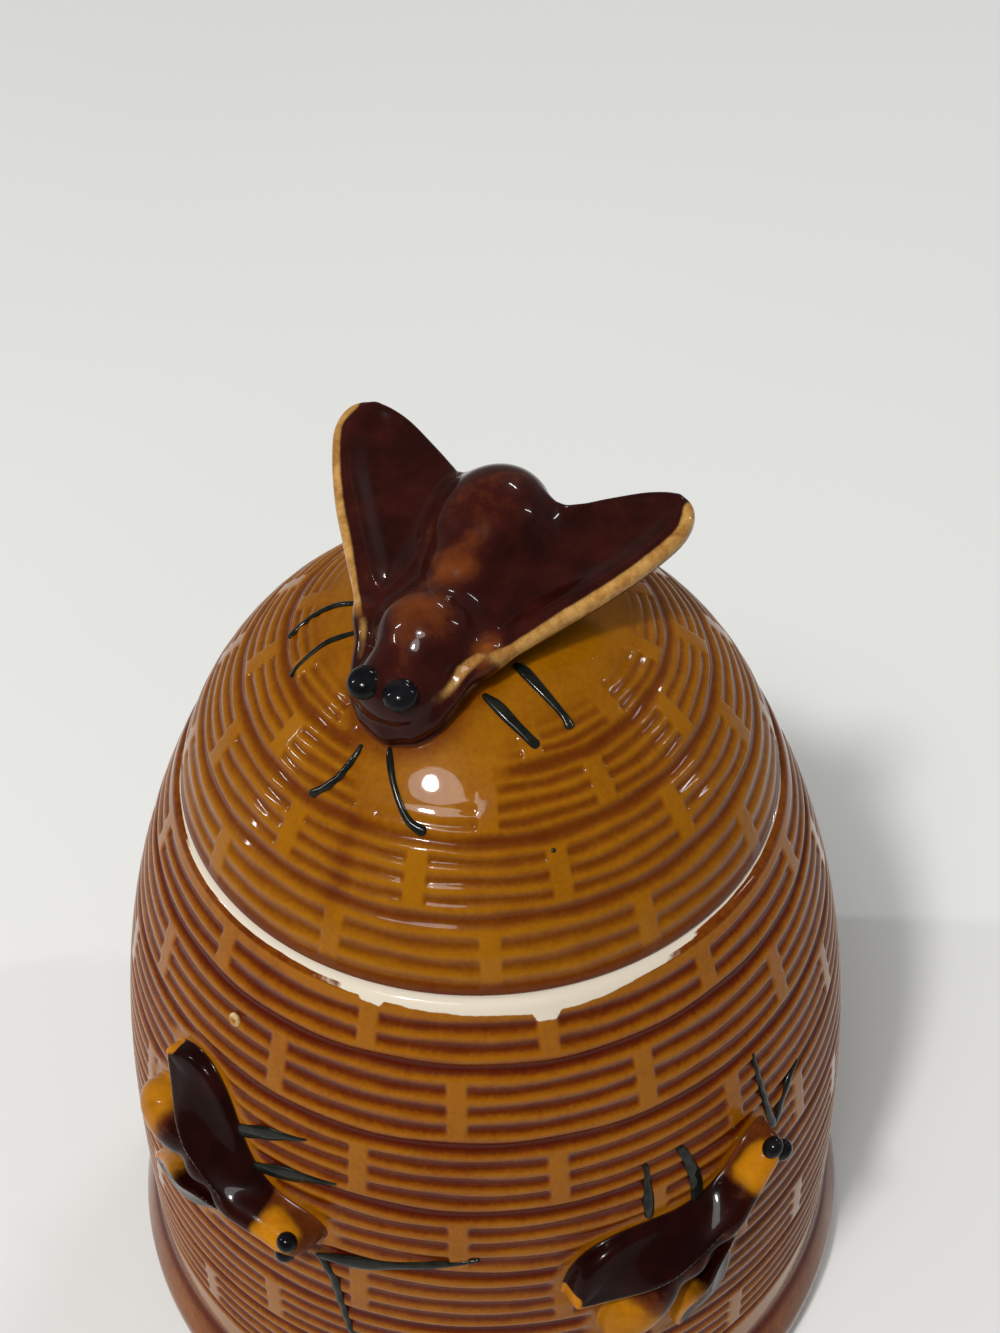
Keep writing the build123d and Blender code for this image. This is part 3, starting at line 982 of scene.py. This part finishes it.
def wall_bee_colours(x, y, h):
    bee = wall_bee_form(x, y, h)
    body = bee_body(x, y, h, wall_body)
    wings = np.full(x.shape, 1e9)
    rim = np.zeros(x.shape)
    for wing in fold_wings:
        wings = np.minimum(wings, folded_wing(x, y, h, *wing))
        rim = np.maximum(rim, 1 - step(0.3, 1.1, line_distance((x, y), wing[-1])))
    on_body = step(-0.3, 0.5, wings - body)
    shoulder = step(10.4, 12.0, x - 0.5 * h)
    on_body = np.maximum(on_body, shoulder)
    head = (1 - step(1.2, 5.0, np.abs(x - 15.2))) * step(-2.0, 1.2, h)
    tail = 1 - step(-9.0, -4.5, x)
    amber = on_body * np.maximum(1.05 * head, 0.80 * tail)
    amber = np.maximum(amber, 0.95 * rim * (1 - on_body) * (1 - step(-8.0, 3.0, x)))
    thin = 0.08 + 0.50 * on_body * np.maximum(0.6 * shoulder, tail) + 0.22 * on_body
    pool = (1 - step(0.2, 1.6, bee)) * step(8.0, 11.0, x) + 0.35 * (1 - step(0.1, 0.8, bee))
    return bee_shares(amber, thin, step(0.15, 0.6, bee), pool)


made = bee_skin(lid_bee_form, lid_bee_colours, lid_seat, lid_ground, (-20, -29, -10), (30, 26, 9), 1.3)
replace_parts(place_bee("bee_knob", lid_seat, made, lid_bee_glaze, "lid"), "lid_bee")
for name in wall_bees:
    made = bee_skin(wall_bee_form, wall_bee_colours, seats[name], wall_ground,
                    (-18, -20, -9), (24, 20, 8), 0.8)
    for place in (name, name + "_back"):
        place_bee("wall_bee_" + place, seats[place], made, wall_bee_glaze, "pot")


def bead(name, seat, centre, radii, body):
    """A glossy eye, flattened and set into the head."""
    lat = np.linspace(-np.pi / 2, np.pi / 2, len(round_headings) // 2 + 1)
    points, faces = lathe(np.cos(lat), np.sin(lat), round_headings)
    local = points * np.array(radii) + np.array(centre)
    world = np.stack(seat.world(*local.T), axis=-1)
    make_piece(name, world, faces, {}, eye_black, body)


for side, word in ((1, "right"), (-1, "left")):
    bead("knob_eye_" + word, lid_seat, (22.0, side * 2.4 - 0.7, 3.2), (2.2, 2.15, 1.6), "lid")
    for name, seat in seats.items():
        reach = wall_eye_reach[name.split("_")[0]]
        bead("eye_" + name + "_" + word, seat, (reach, side * 1.2, 1.9), (1.45, 1.4, 1.35), "pot")


# ---------------- brush strokes
def stroke_place(line, level):
    """Place along an outline of a height in stroke units over the rim."""
    return line.s_at_height(pot_height + stroke_unit * level)


def stroke(name, surface, line, marks, body):
    """A painted stroke, standing slightly proud. Marks are heading, height over the rim in stroke
    units, and width."""
    path = curve_through(marks, closed=False, per=12)
    s = stroke_place(line, path[:, 1])
    walk = np.hypot(np.diff(s), np.radians(np.diff(path[:, 0])) * line.at(s)[0][1:])
    walk = np.concatenate([[0], np.cumsum(walk)])
    share = 0.5 - 0.5 * np.cos(np.linspace(0, np.pi, 44))
    place = share[1:-1] * walk[-1]
    heading, level, width = (np.interp(place, walk, path[:, k]) for k in range(3))
    s = stroke_place(line, level)
    for away in (place, walk[-1] - place):
        end = np.clip(away / np.maximum(width / 2, 0.05), 0, 1)
        width = width * np.sqrt(1 - (1 - end) ** 2)
    r = line.at(s)[0]
    ds = np.gradient(s)
    dh = np.radians(np.gradient(heading)) * r
    size = np.hypot(ds, dh)
    across_s, across_h = dh / size, -ds / size
    ring = []
    for angle in np.linspace(0, 2 * np.pi, 12, endpoint=False):
        shift = math.cos(angle) * width / 2
        up = math.sin(angle)
        rise = max(up, 0) * stroke_lift * np.clip(width / 0.8, 0.3, 1) + min(up, 0) * stroke_sink
        point, normal, depth = surface(s + across_s * shift, heading + np.degrees(across_h * shift / r))
        ring.append(point + normal * (rise + (0.5 + 0.4 * up) * depth)[..., None])
    ring = np.stack(ring, axis=1)
    points = np.concatenate([[ring[0].mean(0)], ring.reshape(-1, 3), [ring[-1].mean(0)]])
    faces = [np.roll(f[:, ::-1], 1, axis=1) for f in ring_faces(*ring.shape[:2])]
    make_piece(name, points, faces, {}, brush_black, body)


lid_strokes = {
    "knob_leg_1": [(-92.4, 0.695, 0.7), (-95.2, 0.668, 0.8), (-94.9, 0.642, 0.75), (-91.8, 0.60, 0.7),
                   (-88.9, 0.576, 0.9)],
    "knob_leg_2": [(-73.4, 0.689, 0.6), (-76.2, 0.660, 0.8), (-76.7, 0.639, 0.7), (-73.7, 0.565, 0.6)],
    "knob_leg_3": [(2.0, 0.684, 0.7), (8.0, 0.665, 1.6), (13.7, 0.631, 1.3), (17.0, 0.605, 1.3),
                   (18.3, 0.597, 1.5)],
    "knob_leg_4": [(20.4, 0.711, 0.8), (24.0, 0.700, 1.6), (27.4, 0.670, 1.3), (30.0, 0.630, 1.0),
                   (30.2, 0.606, 1.5)],
    "knob_feeler_1": [(-36.3, 0.574, 0.5), (-36.6, 0.545, 0.8), (-38.6, 0.49, 1.0), (-43.2, 0.434, 1.1)],
    "knob_feeler_2": [(-27.9, 0.588, 0.5), (-26.2, 0.565, 0.9), (-22.6, 0.52, 0.8), (-17.5, 0.465, 1.0),
                      (-12.9, 0.444, 1.6)],
}
pot_strokes = {
    "left_leg_1": [(-43.5, -0.765, 1.0), (-40.0, -0.722, 2.1), (-35.0, -0.66, 2.0), (-28.4, -0.604, 0.3)],
    "left_leg_2": [(-40.0, -0.875, 0.8), (-35.5, -0.83, 1.9), (-30.0, -0.785, 2.1), (-23.2, -0.743, 0.3)],
    "left_feeler_1": [(-26.5, -1.13, 1.2), (-20.0, -1.10, 2.2), (-12.0, -1.05, 1.6), (-2.0, -0.994, 0.4)],
    "left_feeler_2": [(-26.5, -1.12, 1.0), (-24.0, -1.23, 1.4), (-23.1, -1.343, 1.2), (-21.6, -1.534, 0.9)],
    "right_leg_1": [(23.3, -0.700, 0.7), (23.3, -0.78, 1.0), (23.3, -0.86, 1.6), (23.3, -0.95, 1.2)],
    "right_leg_2": [(29.0, -0.690, 1.1), (30.2, -0.76, 1.5), (31.4, -0.88, 2.0), (31.4, -1.03, 1.6)],
    "right_feeler_1": [(45.1, -0.529, 0.5), (45.6, -0.66, 1.0), (46.6, -0.80, 1.2), (47.9, -0.93, 1.3)],
    "right_feeler_2": [(55.4, -0.758, 0.6), (52.6, -0.80, 1.3), (50.0, -0.86, 1.5), (47.9, -0.93, 1.3)],
}
for name, marks in lid_strokes.items():
    stroke(name, lid_surface, lid_line, marks, "lid")
for name, marks in pot_strokes.items():
    stroke(name, pot_surface, pot_line, marks, "pot")
    stroke(name + "_back", pot_surface, pot_line, [(a + 180, b, c) for a, b, c in marks], "pot")


def spot(name, surface, line, heading, level, shape, material, body):
    """A small round fault in the glaze, turned about the surface's normal."""
    s = np.array([float(stroke_place(line, level))])
    point, normal, _ = surface(s, np.array([float(heading)]))
    normal = normal[0]
    across = np.cross(normal, (0, 0, 1))
    across /= np.linalg.norm(across)
    axes = np.array([across, np.cross(across, normal), normal])
    points, faces = lathe(*np.transpose(shape), round_headings)
    make_piece(name, point[0] + points @ axes, [f[:, ::-1] for f in faces], {}, material, body)


spot("glaze_speck", lid_surface, lid_line, 15.3, 0.394,
     [(0, 0.22), (0.14, 0.20), (0.27, 0.10), (0.32, -0.08), (0, -0.3)], brush_black, "lid")
spot("glaze_blister", pot_surface, pot_line, -44.5, -0.318,
     [(0, -0.02), (0.30, 0.0), (0.46, 0.12), (0.62, 0.24), (0.80, 0.16), (0.95, 0.0), (1.0, -0.3), (0, -0.5)],
     blister_glaze_and_highlight, "pot")

# ---------------- floor, light and camera
floor_mesh = bpy.data.meshes.new("floor")
floor_mesh.from_pydata([(-4, -4, 0), (4, -4, 0), (4, 4, 0), (-4, 4, 0)], [], [(0, 1, 2, 3)])
floor = new_object("floor", floor_mesh)
floor_material, tree, shader = new_material("floor_pale")
shader.inputs["Roughness"].default_value = 0.8
pale = ramp(tree, noise(tree, 3, 2), [(0.3, (0.66, 0.66, 0.65)), (0.7, (0.69, 0.69, 0.68))])
feed(tree, pale, shader.inputs["Base Color"])
floor_mesh.materials.append(floor_material)

world = bpy.data.worlds.new("studio")
bpy.context.scene.world = world
world.use_nodes = True
background = world.node_tree.nodes["Background"]
background.inputs["Color"].default_value = (0.25, 0.255, 0.25, 1)
background.inputs["Strength"].default_value = 1.0


lamp_aim = 0.1


def lamp(name, heading, elevation, distance, size, power, colour=(1, 1, 1)):
    """An oval lamp turned to the middle of the pot."""
    data = bpy.data.lights.new(name, "AREA")
    data.shape = "ELLIPSE"
    data.size, data.size_y = size
    data.energy = power
    data.color = colour
    obj = new_object(name, data)
    lift = math.radians(elevation)
    away = Vector(around_axis(math.cos(lift), math.sin(lift), heading))
    obj.location = Vector((0, 0, lamp_aim)) + away * distance
    obj.rotation_euler = away.to_track_quat("Z", "Y").to_euler()


lamp("key", -31, 54, 1.5, (0.15, 0.15), 13.6, (1.0, 0.985, 0.96))
lamp("softbox", -27, 53, 1.5, (0.54, 0.36), 7.5)
lamp("left_strip", -95, 30, 1.3, (0.035, 0.30), 3.5)
lamp("back_strip", 150, 45, 1.4, (0.30, 0.035), 3.0)
lamp("right_strip", 100, 35, 1.3, (0.03, 0.30), 2.0)

camera_data = bpy.data.cameras.new("camera")
camera = new_object("camera", camera_data)
bpy.context.scene.camera = camera
# As the photo was taken: its height and focal length in pixels, and the turns of the camera
photo_height = 1333
photo_focal = 2079
yaw, down, roll = (math.radians(v) for v in (0.86, 44.02, 0.98))
camera_data.sensor_width = 36
camera_data.lens = photo_focal * camera_data.sensor_width / photo_height
look = Vector((math.sin(yaw) * math.cos(down), math.cos(yaw) * math.cos(down), -math.sin(down)))
right = Vector((math.cos(yaw), -math.sin(yaw), 0))
below = look.cross(right)
image_right = right * math.cos(roll) + below * math.sin(roll)
image_down = below * math.cos(roll) - right * math.sin(roll)
matrix = Matrix((image_right, -image_down, -look)).transposed().to_4x4()
matrix.translation = Vector((0, -0.1911, 0.3003))
camera.matrix_world = matrix

bpy.context.scene.view_settings.view_transform = "Standard"
